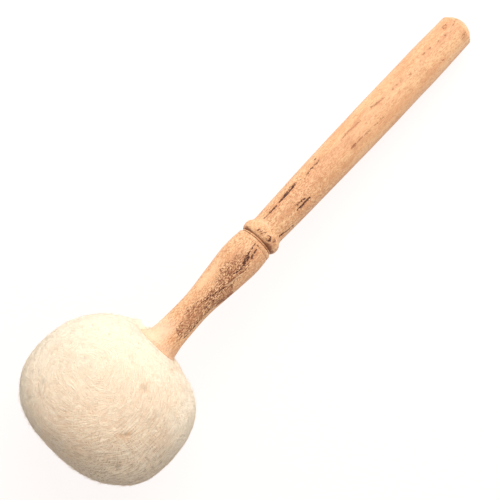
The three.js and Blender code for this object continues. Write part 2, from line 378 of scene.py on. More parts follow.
# %% List the cracks, the knots and the ridges
CRACKS = [
    # on top of the grip, from the bead to the end
    (86.8, -37, 90.4, -36, 0.24, 0.08), (90.2, -36, 96.3, -34, 0.76, 0.45),
    (97.8, -36, 102.6, -37, 0.8, 0.5), (101.2, -36, 107.6, -38, 1.3, 0.75),
    (106, -38, 110.2, -39, 1.65, 0.7), (109.6, -36, 112.2, -38, 0.5, 0.25),
    (102.4, 13, 106.2, 15, 0.55, 0.2), (105.8, 15, 109.4, 18, 0.46, 0.15),
    (108.2, -44, 112.6, -42, 0.5, 0.2), (101.6, 27, 111.6, 27, 0.98, 0.6),
    (85.6, 49, 89.6, 55, 0.98, 0.6), (89.4, 55, 95.4, 60, 0.42, 0.25),
    (114.2, -40, 115, -32, 0.38, 0.15), (115, -32, 114.4, -25, 0.3, 0.12),
    (119, -31, 120.9, -31, 0.7, 0.3), (121.2, -33, 126.8, -34, 0.3, 0.12),
    (122.4, -34, 125.2, -33, 0.58, 0.3), (126.6, -31, 129.6, -35, 0.62, 0.3),
    (128.4, -48, 129.4, -48, 0.85, 0.3), (146, 16, 149.8, 14, 0.9, 0.4),
    (150.6, 14, 154.4, 15, 0.3, 0.1), (156, 16, 160.6, 17, 0.24, 0.08),
    (163.4, 18, 166, 19, 0.26, 0.08), (168.6, 19, 170.8, 20, 0.22, 0.08),
    (145.2, -24, 149.8, -28, 0.55, 0.25), (149.8, -28, 160.3, -23, 0.24, 0.08),
    (169.8, -27, 178.6, -18, 0.32, 0.1), (169.4, -27, 170.6, -27, 0.7, 0.25),
    (184.8, -18, 185.8, -18, 0.55, 0.2), (188, -17, 189, -17, 0.5, 0.15),
    (190.8, -16, 191.6, -16, 0.5, 0.15), (197.4, -10, 198.4, -10, 0.6, 0.2),
    (210.6, -23, 212.2, -23, 0.5, 0.18), (215.2, -22, 217, -21, 0.36, 0.12),
    (221.9, -17, 222.8, -17, 0.55, 0.2), (226.8, -15, 227.6, -15, 0.66, 0.2),
    (233.2, -18, 238.2, -25, 0.42, 0.2), (238.6, -27, 239.6, -30, 0.6, 0.2),
    (216.2, 35, 217.4, 35, 0.6, 0.2), (233.8, 26, 236.4, 25, 0.22, 0.1),
    (232.6, 33, 235, 33, 0.2, 0.08),
    # on the neck
    (59.8, 21, 63, 15, 1.1, 0.4), (60.6, 15, 64.6, 9, 1.2, 0.4),
    (62.2, 17, 66.6, 11, 0.9, 0.3), (63.6, 12, 67.4, 6, 0.6, 0.25),
    (64.3, 7, 69, 4, 0.55, 0.3), (68.5, 4, 73, 2, 0.42, 0.3),
    (66, 21, 68.6, 18, 1.15, 0.4), (68.6, 18, 71.4, 15, 0.85, 0.3),
    (73, 11, 73.7, 11, 0.7, 0.2), (31.5, 6, 37.3, 13, 0.3, 0.15),
    (37.3, 13, 41.3, 21, 0.62, 0.35), (41.3, 21, 46.6, 28, 0.9, 0.4),
    (30, 30, 37.6, 32, 0.5, 0.22), (53.9, 17, 57, 21, 0.8, 0.25),
    (12, 52, 20, 55, 0.24, 0.12), (20, 55, 28, 51, 0.24, 0.12),
    (28, 51, 35, 48, 0.22, 0.1), (56.6, 22, 59.6, 19, 0.8, 0.2),
    # on the bead
    (78.9, -20, 80.4, -17, 0.45, 0.15), (79.4, -13, 80.7, -9, 0.4, 0.15),
    (78.7, -6, 79.9, -3, 0.42, 0.15), (80.6, -2, 81.4, 3, 0.32, 0.1),
    # on the sides and the underside, which the picture doesn't show
    (92, 128, 101, 124, 0.7, 0.5), (104, 121, 118, 119, 0.32, 0.15),
    (131, 168, 146, 171, 0.8, 0.6), (149, 172, 157, 170, 0.35, 0.15),
    (98, -104, 106, -107, 0.55, 0.4), (118, -131, 123, -131, 0.7, 0.4),
    (124.6, -132, 129, -130, 0.4, 0.2), (160, -88, 172, -92, 0.45, 0.3),
    (183, 96, 190, 99, 0.5, 0.3), (199, 151, 214, 147, 0.6, 0.45),
    (205, -156, 211, -158, 0.5, 0.3), (224, 82, 231, 85, 0.5, 0.3),
    (226, -118, 229.5, -120, 0.6, 0.3), (12, -148, 24, -146, 0.5, 0.3),
    (40, 165, 52, 170, 0.6, 0.4), (58, -95, 64, -98, 0.45, 0.25),
]
KNOTS = [
    # place along, angle, radius of its ring, width of the ring, how much of the ring is open
    (80, 17.5, 1.25, 0.95, 0.42), (81.5, 36, 0.75, 0.45, 0.4),
    (231, -37, 1.15, 0.3, 0), (176, 140, 1.8, 0.5, 0.2),
]
RIDGES = [(46.8, 28, 58.2, 35, 0.75, 0), (65.8, 1, 72, -3, 0.4, 0), (64.8, 11, 68.6, 9, 0.4, 0)]
print(f"{len(CRACKS)} cracks and {len(KNOTS)} knots")

# %% [markdown]
# A crack isn't drawn on as a line. Each point gets the distance that it lies inside the nearest
# crack, or outside it as a negative number. The mesh sinks by it, and the material draws an
# edge with it that is crisp even where the mesh is coarser than the crack.

# %% Measure how deep each point lies in a mark
MARK_REACH = 1.5 * MM
CRACK_END = 3
POINTED = 0.75
CRACK_EDGE = (-0.15 * MM, 0.3 * MM)
KNOT_GAP = math.radians(90)
KNOT_OPENING = 1.6
KNOT_DEPTH = 0.3 * MM
KNOT_EDGE = (-0.2 * MM, 0.3 * MM)
wander = 0.22 * MM * noise(space, 1.7 * MM, 41)
ragged = 0.1 * MM * noise(space, 0.7 * MM, 42)


def inside_marks(cracks, knots=()):
    """How far inside a mark each point is (m, negative outside), and how much it sinks (m)."""
    inside = np.full(len(stick_u), -MARK_REACH)
    sunk = np.zeros(len(stick_u))
    for a0, g0, a1, g1, width, depth in cracks:
        low, high = min(a0, a1) - CRACK_END, max(a0, a1) + CRACK_END
        here = np.flatnonzero((stick_u > low * MM) & (stick_u < high * MM))
        run = np.clip((stick_u[here] / MM - a0) / (a1 - a0), 0, 1)
        beside = turned_from(stick_a[here], np.radians(g0 + (g1 - g0) * run)) * stick_r[here]
        beyond = stick_u[here] - (a0 + (a1 - a0) * run) * MM
        half = width / 2 * MM * (1 - (2 * run - 1) ** 4 * POINTED)
        into = half + ragged[here] - np.hypot(beside + wander[here], beyond)
        inside[here] = np.maximum(inside[here], into)
        sunk[here] = np.maximum(sunk[here], depth * MM * fade(into, *CRACK_EDGE))
    for middle, turn, ring, width, opening in knots:
        beside = turned_from(stick_a, math.radians(turn)) * stick_r
        beyond = stick_u - middle * MM
        facing_gap = 1 + np.cos(np.arctan2(beside, beyond) + KNOT_GAP)
        half = width / 2 * MM * (1 - KNOT_OPENING * opening * facing_gap)
        into = half + ragged - np.abs(np.hypot(beside, beyond) - ring * MM)
        inside = np.maximum(inside, into)
        sunk = np.maximum(sunk, KNOT_DEPTH * fade(into, *KNOT_EDGE))
    return inside, sunk


inside, sunk = inside_marks(CRACKS, KNOTS)
ridge = inside_marks(RIDGES)[0]
print(f"{np.count_nonzero(inside > 0)} points lie in a mark")

# %% [markdown]
# The speckled patch runs along the neck like a ribbon. Its two edges are listed as angles at
# a few places along the neck, and so is how thickly the speckles stand.

# %% Outline the speckled patch
PATCH_ALONG = np.array([6, 9, 12, 18, 24, 30, 36, 40, 44, 47, 50, 55, 60, 66, 74])
PATCH_FROM = np.array([36, 30, 4, -10, -12, -14, -10, -8, -12, -15, -18, -22, -22, -8, 4])
PATCH_TO = np.array([40, 46, 52, 54, 52, 54, 70, 80, 84, 70, 32, 34, 35, 28, 14])
PATCH_DENSE = np.array([0, 0.6, 0.9, 1, 1, 0.95, 1, 1, 1, 1, 1, 1, 0.9, 0.6, 0])
PATCH_EDGE = 16
PATCH_RAGGED = 9
degrees = turned + PATCH_RAGGED * rough_noise(space, 6 * MM, 51)
low = np.interp(stick_u / MM, PATCH_ALONG, PATCH_FROM)
high = np.interp(stick_u / MM, PATCH_ALONG, PATCH_TO)
speckle = np.interp(stick_u / MM, PATCH_ALONG, PATCH_DENSE)
speckle *= fade(degrees, low - PATCH_EDGE / 2, low + PATCH_EDGE)
speckle *= 1 - fade(degrees, high - PATCH_EDGE / 2, high + PATCH_EDGE / 2)
print(f"the patch covers {np.mean(speckle[stick_u > 0] > 0.5):.0%} of the stick in view")

# %% [markdown]
# Reddish stains lie beside some cracks, and two ovals in that list paint shade on the bead's belly.
# A few places get a painted highlight. Dark marks lie on the grip and in the patch, and painted
# shade darkens the ends of the groove and the patch's edge on the lower flank. Each is an oval: the
# place and the angle of its middle, then half its length and half its width (mm).

# %% List the stains, the painted highlights, the dark marks and the painted shade
STAINS_AND_SHADE = [
    (107.5, 18, 6.5, 2), (104, -42, 8, 1.6), (92, -30, 6, 2), (120, 14, 5, 3),
    (128, 30, 6, 2.6), (150, 22, 7, 2.2), (96, 8, 7, 3), (140, 40, 9, 2),
    (158, -28, 8, 1.2), (174, -22, 7, 1.2), (190, -17, 6, 1.4),
    (206, 30, 8, 2.4), (213, -22, 5, 1.3), (225, -15, 5, 1.3),
    (235, 30, 5, 3), (231, -34, 3, 2), (4, 60, 5, 4), (66, 14, 8, 3.2),
    # the ovals at 79.4 mm, 30 degrees and at 79.2 mm, -10 degrees are painted shade on the bead's
    # belly
    (79.4, 30, 2.6, 6.5), (62, -14, 6, 3.4), (79.2, -10, 1.8, 4), (45, 50, 4, 3),
    (24, 20, 9, 4), (110, 150, 12, 4), (150, -120, 14, 4),
    (200, 170, 12, 3), (30, -140, 10, 4), (90, -110, 8, 4),
    (180, 100, 10, 3),
]
# painted highlights: pale places on the foot, the bead's cove and the neck's side towards the lamp
HIGHLIGHT_SPOTS = [(5, -28, 5.5, 5.5), (84.6, -24, 2.4, 4), (45, -45, 14, 3)]
DARK_MARKS_AND_SHADE = [
    # the three ovals at the groove's ends and the two at 38.8 and 44 mm, along the patch's edge,
    # are painted shade; the others are dark marks
    (77.3, 48, 1.4, 5.6), (77.4, -52, 1.1, 4.8), (77.9, 64, 1, 3), (147.8, 15, 2.2, 0.6),
    (44, 71, 3.2, 1.1), (38.8, 61, 3.6, 1.2), (50.6, 27, 4.8, 0.7),
]
OVAL_BLUR = 0.45
OVAL_EDGE = (0.35, 1.15)
blurred = OVAL_BLUR * rough_noise(space, 2.6 * MM, 61)


def covered_by_ovals(ovals):
    """How strongly each point is covered by the ovals of a list, from 0 to 1."""
    oval_share = np.zeros(len(stick_u))
    for middle, turn, half_long, half_wide in ovals:
        beyond = (stick_u / MM - middle) / half_long
        beside = turned_from(stick_a, math.radians(turn)) * stick_r / MM / half_wide
        oval_share = np.maximum(oval_share, 1 - fade(np.hypot(beyond, beside) + blurred, *OVAL_EDGE))
    return oval_share


oval_share, highlighted, dark_marks_and_shade = covered_by_ovals(STAINS_AND_SHADE), covered_by_ovals(HIGHLIGHT_SPOTS), covered_by_ovals(DARK_MARKS_AND_SHADE)
# counts of the stains with painted shade, of the painted highlights, and of the dark marks with
# painted shade
print(f"{len(STAINS_AND_SHADE)} stains, {len(HIGHLIGHT_SPOTS)} worn places and {len(DARK_MARKS_AND_SHADE)} darkened ones")

# %% [markdown]
# ## The turned stick
# The stick gets one skin, from the end of its tenon to the top of its dome. Its faults are all
# small: it wanders by a tenth of a millimetre, it is bent by a third, the grain stands a little
# proud, and short pores run along it. The bead leans, because the blank was held askew when it
# was cut. The foot sinks deeper into the wool on one side, and its lip stands off centre.

# %% Skin the stick
GRAIN = np.array([1 / 7, 1, 1])
WANDER = 0.1 * MM
FULL_NECK = 0.1 * MM
GRAIN_RELIEF = 0.035 * MM
PORE_DEPTH = 0.09 * MM
PATCH_RELIEF = 0.16 * MM
RIDGE_HEIGHT = 0.14 * MM
RIDGE_EDGE = 0.3 * MM
BEAD_SHIFT = -0.95 * MM
BEAD_LEAN = 0.95 * MM
FOOT_SINK = 0.43 * MM
FOOT_SKEW = 1.23 * MM
FOOT_ASKEW = 1.05 * MM
FOOT_LENGTH = 11 * MM
BOW_ALONG = np.array([0, 40, 80, 120, 160, 205, 245]) * MM
BOW_OUT = np.array([0, 0.18, 0.3, 0.27, 0.18, 0.06, 0]) * MM


def foot_sink(angle):
    """How much deeper in the wool the foot sits than a foot cut square and hardly pressed in."""
    return FOOT_SINK + FOOT_SKEW * np.cos(angle)


relief = WANDER * rough_noise(space, 24 * MM, 11)
relief += FULL_NECK * fade(stick_u, 3 * MM, 12 * MM) * fade(stick_u, 66 * MM, 55 * MM)
relief += GRAIN_RELIEF * rough_noise(space * GRAIN, 0.9 * MM, 21)
relief -= PORE_DEPTH * fade(noise(space * GRAIN * (2, 1, 1), 0.8 * MM, 31), 0.45, 0.8)
relief -= PATCH_RELIEF * speckle * fade(noise(space * (0.6, 1, 1), 0.9 * MM, 35), 0, 0.5)
relief -= sunk
relief += RIDGE_HEIGHT * fade(ridge, -RIDGE_EDGE, RIDGE_EDGE)
relief *= fade(stick_r, 0, 3 * MM) * fade(stick_u, -0.01 * MM, 0.4 * MM)
askew = FOOT_ASKEW * flared(stick_u) * (stick_r > stem_radius + 1 * MM)
stick_r = np.maximum(stick_r + relief - askew * np.sin(stick_a), 0)
lean = band(stick_u, 58 * MM, 72 * MM, 85 * MM, 99 * MM)
stick_u = stick_u + lean * (BEAD_SHIFT + BEAD_LEAN * np.cos(stick_a))
at_foot = (1 - fade(stick_u, 0, FOOT_LENGTH)) * (stick_u > -BEVEL_DEPTH - 0.1 * MM)
stick_u = stick_u - foot_sink(stick_a) * at_foot
bow = smooth_through(BOW_ALONG, BOW_OUT, np.clip(stick_u, 0, BOW_ALONG[-1]))
skin = place(stick_u + foot_place, stick_a, stick_r) - bow[:, None] * SIDE
skin[:, 2] = np.maximum(skin[:, 2], 0)
stick = ring_mesh("turned_stick", skin, SIDES)
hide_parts("handle")

# %% [markdown]
# The groove is drawn darker and raised edges paler. The outline itself says where: a place that
# lies lower than the stick around it is a hollow, and one that lies higher is an edge. A painted
# highlight lies on the foot's side towards the lamp and round its rim, and painted light on the
# shaded lower flank towards the grip's end. Painted shade darkens both flanks, where they turn away
# at the outline, and the dome. The grain is liveliest on the neck.

# %% Store what the wood's finish needs
HOLLOW_WINDOW = 2.6 * MM
DOME_PLACE = 225 * MM
around = evened(fine_along, fine_radius, HOLLOW_WINDOW, 15, stick_along)
lower = np.repeat((around - stick_radius) / MM, SIDES)
lower = np.where(np.repeat(stick_along, SIDES) > foot_place + DOME_PLACE, 0, lower)
stick_mm = stick_u / MM
# painted highlight: the foot's side towards the lamp
lit_foot = 0.48 * band(turned, -170, -120, -25, 20) * (1 - fade(stick_mm, 8, 19))
# painted light: the shaded lower flank is drawn paler towards the grip's end
painted_flank_light = 0.45 * band(turned, 25, 60, 100, 150) * fade(stick_mm, 165, 200)
# painted shade: both flanks, where they turn away at the outline, then the upper flank near the
# end, and the dome
painted_shade = band(np.abs(turned), 60, 84, 96, 130) * fade(stick_mm, 14, 24)
painted_shade += 0.3 * band(turned, -130, -90, -60, -25) * fade(stick_mm, 195, 220)
painted_shade += 0.5 * band(turned, -75, -40, 30, 60) * fade(stick_mm, 236, 241)
calm_end = 1 - 0.3 * fade(stick_mm, 180, 205)
marks = {
    "painted_shade": np.clip(painted_shade, 0, 1),
    "inside": np.clip(inside / MM, -1.5, 1.5),
    "speckle": speckle,
    "oval_share": oval_share,
    "highlighted": np.maximum(highlighted, painted_flank_light),
    # with a weaker painted highlight round the foot's rim
    "painted_foot_highlight": np.maximum(lit_foot, 0.26 * (1 - fade(stick_mm, 2, 6))),
    "dark_marks_and_shade": dark_marks_and_shade,
    "ridge": np.clip(ridge / MM, -1.5, 1.5),
    "lively": 1 - 0.68 * fade(stick_mm, 112, 150) * calm_end,
    "hollow": np.where(stick_u > 0, lower, 0),
    "grain_place": space / MM,
}
give(stick, marks, SIDES)
print(f"deepest hollow {lower.max():.2f} mm")

# %% [markdown]
# ## The split tenon
# Inside the head the tenon is sawn open for a wedge, which spreads it in the knob's bore. A
# tapered slab cuts the slit. It is as wide at the tenon's end as the wedge, and a little more.

# %% Saw the tenon open
KERF_LENGTH = 20 * MM
KERF_NARROW = 1.4 * MM
KERF_WIDE = 3.2 * MM
OVERRUN = 1 * MM
slab_places = [
    (along, side, up)
    for along, width in ((tenon_end - OVERRUN, KERF_WIDE), (tenon_end + KERF_LENGTH, KERF_NARROW))
    for side in (-width / 2, width / 2)
    for up in (-2 * tenon_radius, 2 * tenon_radius)
]
slab_points = [head_middle + a * ALONG + s * SIDE + u * UP for a, s, u in slab_places]
slab_faces = [(0, 1, 3, 2), (4, 6, 7, 5), (0, 4, 5, 1), (2, 3, 7, 6), (0, 2, 6, 4), (1, 5, 7, 3)]
slab_mesh = bpy.data.meshes.new("saw")
slab_mesh.from_pydata([tuple(p) for p in slab_points], [], slab_faces)
saw = put("saw", slab_mesh)
cut = stick.modifiers.new("slit", "BOOLEAN")
cut.operation = "DIFFERENCE"
cut.solver = "EXACT"
cut.object = saw
sawn = bpy.data.meshes.new_from_object(stick.evaluated_get(bpy.context.evaluated_depsgraph_get()))
stick.modifiers.clear()
stick.data = sawn
bpy.data.objects.remove(saw)
print(f"the sawn stick has {len(sawn.polygons)} faces")

# %% [markdown]
# ## The lie of the wool
# A felted ball has no weave. It is fleece, wrapped round in every direction and rubbed with
# soap until the fibres lock, so its skin shows strokes that swirl. Each point of the ball gets
# a direction along its skin, which turns slowly from place to place. Fine noise is then smeared
# along that direction, which leaves a comb of soft, curved strands.

# %% Find the lie of the fibres and comb noise along it
SWIRL = 20 * MM
ROUND_SHARE = 2
POLE_TILT = math.radians(22)
PICTURE_UP = np.array([math.sin(MALLET_TURN), math.cos(MALLET_TURN), 0])
POLE = math.sin(POLE_TILT) * PICTURE_UP + math.cos(POLE_TILT) * np.array([0, 0, 1])
COMB_STEPS = 7
COMB_GAIN = 1.6


def fibre_lie(points, seed=71, round_share=ROUND_SHARE):
    """The direction in which the fibres lie at each point of the ball, along its skin."""
    outward = points - head_middle
    outward /= np.linalg.norm(outward, axis=1)[:, None]
    pull = np.stack([rough_noise(points, SWIRL, seed + 10 * k, 2) for k in range(3)], axis=1)
    lie = np.cross(outward, pull + round_share * POLE)
    return lie / (np.linalg.norm(lie, axis=1)[:, None] + 1e-9)


def combed(points, size, reach, seed):
    """Noise of one size, smeared along the lie of the fibres for a reach to both sides."""
    total = noise(points, size, seed)
    lie = fibre_lie(points)
    for way in (-1, 1):
        spot, heading = points.copy(), lie * way
        for step in range(COMB_STEPS):
            spot = spot + heading * reach / COMB_STEPS
            if step == COMB_STEPS // 2:
                heading = fibre_lie(spot) * way
            total += noise(spot, size, seed)
    return total / math.sqrt(2 * COMB_STEPS + 1) * COMB_GAIN


# %% [markdown]
# ## The felted head
# The head is a thick shell of felt: its skin, a dimple that the foot of the stick sits in,
# a hole for the stem, and an inner wall. The same full oval as in the measured model gives its
# outline. On top come soft lumps, since no hand rolls a perfect ball, and the combed strands.

# %% Draw the head's outline
HEAD_FULLNESS = 2.5
OVAL_POINTS = 4000
HEAD_SIDES = 440
SKIN_STEP = 0.68 * MM
WALL_STEP = 2.6 * MM
FELT_THICKNESS = 9 * MM
HOLE_RADIUS = 7.6 * MM
LIP_WIDTH = 8 * MM
SEAT_LIFT = 0.3 * MM
FIT = 0.06 * MM
head_along, head_radius = axis_places(vectors_of(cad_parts["felt_head"]))
HALF_WIDTH = head_radius.max()
HALF_LENGTH = -head_along.min()
print(f"head {2 * HALF_WIDTH / MM:.1f} mm wide, {2 * HALF_LENGTH / MM:.1f} mm long")


def oval(inset):
    """The head's outline from the striking end to the axis near the foot, as two arrays."""
    angle = np.linspace(-math.pi / 2, math.pi / 2, OVAL_POINTS)
    across = np.abs(np.cos(angle) / (HALF_WIDTH - inset)) ** HEAD_FULLNESS
    along = np.abs(np.sin(angle) / (HALF_LENGTH - inset)) ** HEAD_FULLNESS
    reach = (across + along) ** (-1 / HEAD_FULLNESS)
    return reach * np.sin(angle), reach * np.cos(angle)


def even_steps(along, radius, step):
    """The same line, cut into steps of the same length."""
    run = np.concatenate([[0], np.cumsum(np.hypot(np.diff(along), np.diff(radius)))])
    wanted = np.linspace(0, run[-1], int(run[-1] / step) + 2)
    return np.interp(wanted, run, along), np.interp(wanted, run, radius)


def opened_oval(inset, hole, step):
    """An oval from its closed end to the edge of a round hole, in steps of the same length."""
    along, radius = oval(inset)
    keep = (along < 0) | (radius > hole)
    along, radius = even_steps(along[keep], radius[keep], step)
    radius[0] = 0
    return along, radius


skin_u, skin_r = oval(0)
seat = foot_place + SEAT_LIFT
lip = fade(skin_r, rim_radius + 0.5 * MM, rim_radius + LIP_WIDTH)
skin_u = np.where(skin_u > 0, seat + (skin_u - seat) * lip, skin_u)
keep = (skin_u < 0) | (skin_r > rim_radius + FIT)
skin_u, skin_r = even_steps(skin_u[keep], skin_r[keep], SKIN_STEP)
skin_r[0] = 0
inner_u, inner_r = opened_oval(FELT_THICKNESS, HOLE_RADIUS, WALL_STEP)
bed_depth = foot_place - BEVEL_DEPTH - FIT
bed_u, bed_r = even_steps(
    np.array([bed_depth + 0.1 * MM, bed_depth, bed_depth, inner_u[-1]]),
    np.array([rim_radius - 0.1 * MM, rim_radius - BEVEL_WIDTHS[1], HOLE_RADIUS, HOLE_RADIUS]),
    WALL_STEP / 2,
)
shell_u = np.concatenate([skin_u, bed_u[:-1], inner_u[::-1]])
shell_r = np.concatenate([skin_r, bed_r[:-1], inner_r[::-1]])
print(f"{len(skin_u)} rings for the skin, {len(shell_u) - len(skin_u)} for the bed and the wall")

# %% [markdown]
# The lumps that show in the picture's outline are listed: place along the axis from the head's
# middle (mm), angle round it, width and height (mm). Puckers, where fibres were pulled in, lie on
# the upper side: place along, distance to the side, width and depth (mm).

# %% Raise the lumps and strands
LUMPS = [
    (-38, 0, 26, -0.9), (12, 90, 22, -0.5), (-22, 90, 18, -0.6), (-8, -90, 20, 0.3),
    (-31, 90, 13, -1.9), (15, 90, 10, -0.5), (33, 90, 12, -0.45), (13, -90, 9, -1.2),
    (26, -90, 10, -0.9), (37, -90, 9, 2.3),
]
PUCKERS = [
    # place along, distance to the side (mm), width, depth
    (-5.2, 18, 1.6, 0.9), (-7, 16.3, 1.3, 0.45), (-3.6, 19.7, 1.3, 0.45),
    (17.6, 8.9, 2.4, 0.5), (-20, 26, 2.2, 0.5), (8, -22, 2, 0.35),
    (-15, -30, 2.4, 0.35),
]
SOFT_LUMPS = 0.55 * MM
SMALL_LUMPS = 0.12 * MM
STRANDS = 0.028 * MM
COARSE_SHARE = 0.35
NAP = 0.07 * MM
CALM_WIDTH = 6 * MM
head_u, head_a, head_r = spread(shell_u, shell_r, HEAD_SIDES)
ball = place(head_u, head_a, head_r)
on_skin = np.repeat(np.arange(len(shell_u)) < len(skin_u), HEAD_SIDES)
foot_side = head_u > 0
past_rim = head_r - rim_radius

fibre, coarse_fibre = np.zeros((2, len(ball)))
fibre[on_skin] = combed(ball[on_skin], 1 * MM, 3.6 * MM, 81)
coarse_fibre[on_skin] = combed(ball[on_skin], 2 * MM, 7 * MM, 91)
swell = SOFT_LUMPS * rough_noise(ball, 27 * MM, 101, 2)
swell += SMALL_LUMPS * rough_noise(ball, 7 * MM, 111, 2)
swell += NAP * noise(ball, 1.7 * MM, 115)
swell += STRANDS * (fibre + COARSE_SHARE * coarse_fibre)
for along, turn, wide, high in LUMPS:
    ring = [np.argmin(np.abs(skin_u - along * MM))]
    spot = place(skin_u[ring], np.radians([turn]), skin_r[ring])
    swell += high * MM * np.exp(-np.sum((ball - spot) ** 2, axis=1) / (wide * MM) ** 2)
offset = ball - head_middle
place_mm, side_mm = offset @ ALONG / MM, offset @ SIDE / MM
on_top = offset @ UP > 0
pucker = np.zeros(len(ball))
for along, side, wide, deep in PUCKERS:
    away = np.hypot(place_mm - along, side_mm - side)
    dent = np.exp(-((1.6 * away / wide) ** 2)) * on_top
    swell -= deep * MM * dent
    pucker = np.maximum(pucker, dent)
calm = fade(head_r, foot_radius, foot_radius + CALM_WIDTH)
swell *= np.where(foot_side & (head_r < foot_radius + CALM_WIDTH), calm, 1) * on_skin
print(f"strands from {fibre.min():.2f} to {fibre.max():.2f}")

# %% [markdown]
# Where the foot is pressed in, the wool gives way under it, dips in a ring round it and stands
# up against it as a collar, highest on the side to which the stick was pushed. The collar's
# height is listed by the angle round the stick. The dimple moves with the foot's lip, and the
# collar lies snug on the wood, a little inside it, so that no gap shows.

# %% Press the foot in and skin the head
CREST_OUT = 6 * MM
CREST_WIDTH = 7 * MM
CREST_DIP = 0.7 * MM
CREST_DIP_TOP = 1 * MM
COLLAR_TURN = np.array([-180, -140, -112, -97, -86, -72, 66, 80, 96, 180])
COLLAR_HIGH = np.array([2.2, 3.2, 4.3, 4.8, 2.2, 0, 0, 0.8, 1.4, 2.2]) * MM
COLLAR_WIDTH = 6 * MM
SNUG_REACH = (0.7 * MM, 3.4 * MM)
SNUG_DEPTH = 0.9 * MM
FLOOR_SOFTNESS = 0.2 * MM
FLOOR_GAP = 0.03 * MM
above_bed = head_u > bed_depth - 0.1 * MM
dip = foot_sink(head_a) * above_bed * fade(past_rim, LIP_WIDTH, 0.8 * MM)
crest = np.exp(-(((past_rim - CREST_OUT) / CREST_WIDTH) ** 2)) * on_skin * foot_side
crest *= fade(past_rim, 0, 3 * MM)
dip += crest * (CREST_DIP + CREST_DIP_TOP * np.clip(np.cos(head_a), 0, 1))
collar = np.interp(np.degrees(turned_from(head_a, 0)), COLLAR_TURN, COLLAR_HIGH)
collar *= np.exp(-((past_rim / COLLAR_WIDTH) ** 2)) * fade(past_rim, 0.1 * MM, 1.7 * MM)
collar *= (1 + 0.15 * noise(ball, 6 * MM, 117)) * on_skin * foot_side
dip -= collar
skin_askew = fade(past_rim, 9 * MM, 1 * MM) * foot_side
bed_askew = fade(head_r, HOLE_RADIUS + 0.3 * MM, rim_radius - 1 * MM) * above_bed
askew = FOOT_ASKEW * np.where(on_skin, skin_askew, bed_askew) * np.sin(head_a)
out_u, out_r = outward_way(shell_u, shell_r, HEAD_SIDES)
felt_u = head_u + swell * out_u - dip
felt_r = head_r + swell * out_r - askew
up_foot = felt_u - foot_place
up_foot += foot_sink(head_a) * (1 - fade(up_foot, 0, FOOT_LENGTH))
wood_r = np.interp(up_foot, fine_along - foot_place, fine_radius)
wood_r -= FOOT_ASKEW * flared(up_foot) * np.sin(head_a)
snug = (1 - fade(past_rim, *SNUG_REACH)) * on_skin * fade(collar, 0.2 * MM, 1 * MM)
felt_r += (wood_r - SNUG_DEPTH - felt_r) * snug
felt_r[:HEAD_SIDES] = 0
felt_u[:HEAD_SIDES] = felt_u[:HEAD_SIDES].mean()
felt_points = place(felt_u, head_a, felt_r)
touch = np.clip(FLOOR_SOFTNESS - np.abs(felt_points[:, 2]), 0, None) / FLOOR_SOFTNESS
felt_points[:, 2] = np.maximum(felt_points[:, 2], FLOOR_GAP) + touch**2 * FLOOR_SOFTNESS / 4
felt = ring_mesh("felted_head", felt_points, HEAD_SIDES)
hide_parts("felt_head")
print(f"collar {collar.max() / MM:.1f} mm high, lowest point {felt_points[:, 2].min() / MM:.2f} mm")

# %% [markdown]
# Small stains on the wool: grease from the fleece, and a trace of the wood's colour near the foot.
# Each is an oval on the upper side: the place along and the distance to the side of its middle,
# then its two half widths (mm) and its strength. A painted highlight makes the wool paler on the
# side towards the lamp, at its right and left edges and on the collar round the foot. On the side
# that is low in the picture, painted shade darkens the valleys between the hairs, and their crests
# are drawn paler.

# %% Store what the felt's finish needs
SMUDGES = [
    (17.6, 8.9, 4, 2.4, 0.9), (0, -37.7, 3.6, 2.6, 0.8), (4.9, -28.3, 2.2, 1.8, 0.7),
    (35, 13.5, 3, 3.6, 0.8), (-4.2, 19, 2.1, 1.6, 1.2), (-6.8, 16.5, 1.8, 1.4, 1),
    (25, 24, 8, 4, 0.35), (-14, -12, 9, 6, 0.25), (3, 33, 7, 5, 0.3),
    (-28, 6, 8, 7, 0.3),
]
HIGHLIGHT_WAY = 0.62 * ALONG - 0.6 * SIDE + 0.3 * UP
PICTURE_RIGHT = np.array([math.cos(MALLET_TURN), -math.sin(MALLET_TURN), 0])
smudge = np.zeros(len(ball))
blotchy = 0.5 * rough_noise(ball, 2.2 * MM, 121)
for along, side, half_long, half_wide, strength in SMUDGES:
    away = np.hypot((place_mm - along) / half_long, (side_mm - side) / half_wide)
    smudge = np.maximum(smudge, strength * (1 - fade(away + blotchy, 0.3, 1.3)) * on_top)
rightward = offset @ PICTURE_RIGHT / HALF_WIDTH
upward = offset @ PICTURE_UP / HALF_WIDTH
# painted highlight: paler wool towards the lamp, at the right and left edges and on the collar
highlight_parts = (
    0.68 * fade(offset @ HIGHLIGHT_WAY / np.linalg.norm(offset, axis=1), -0.1, 0.95),
    0.5 * fade(rightward, 0.55, 0.95),
    0.5 * fade(-rightward, 0.6, 0.95) * fade(upward, -0.55, -0.1),
    fade(collar, 1 * MM, 3.4 * MM),
)
wool_highlight = np.max(highlight_parts, axis=0)
felt_marks = {
    "fibre": fibre,
    "coarse_fibre": coarse_fibre,
    "smudge": smudge,
    "pucker": pucker,
    "wool_highlight": wool_highlight,
    # painted shade on the side low in the picture
    "low_side_shade": fade(-upward, -0.1, 0.95),
    "lie": fibre_lie(ball),
    "cross_lie": fibre_lie(ball, 76, 0.2),
    "felt_place": offset / MM,
}
give(felt, felt_marks, HEAD_SIDES)
print(f"{len(SMUDGES)} smudges on the wool")

# %% [markdown]
# ## Loose fibres
# What tells wool from plaster is its edge: single fibres stand off the skin and blur it. Hair
# particles would be missing from the exported model, so each fibre is a thin, tapering tube of
# three sides, rooted in the felt, which follows the lie of the strands and lifts a little as it
# goes. First each fibre gets a spine, segment by segment.

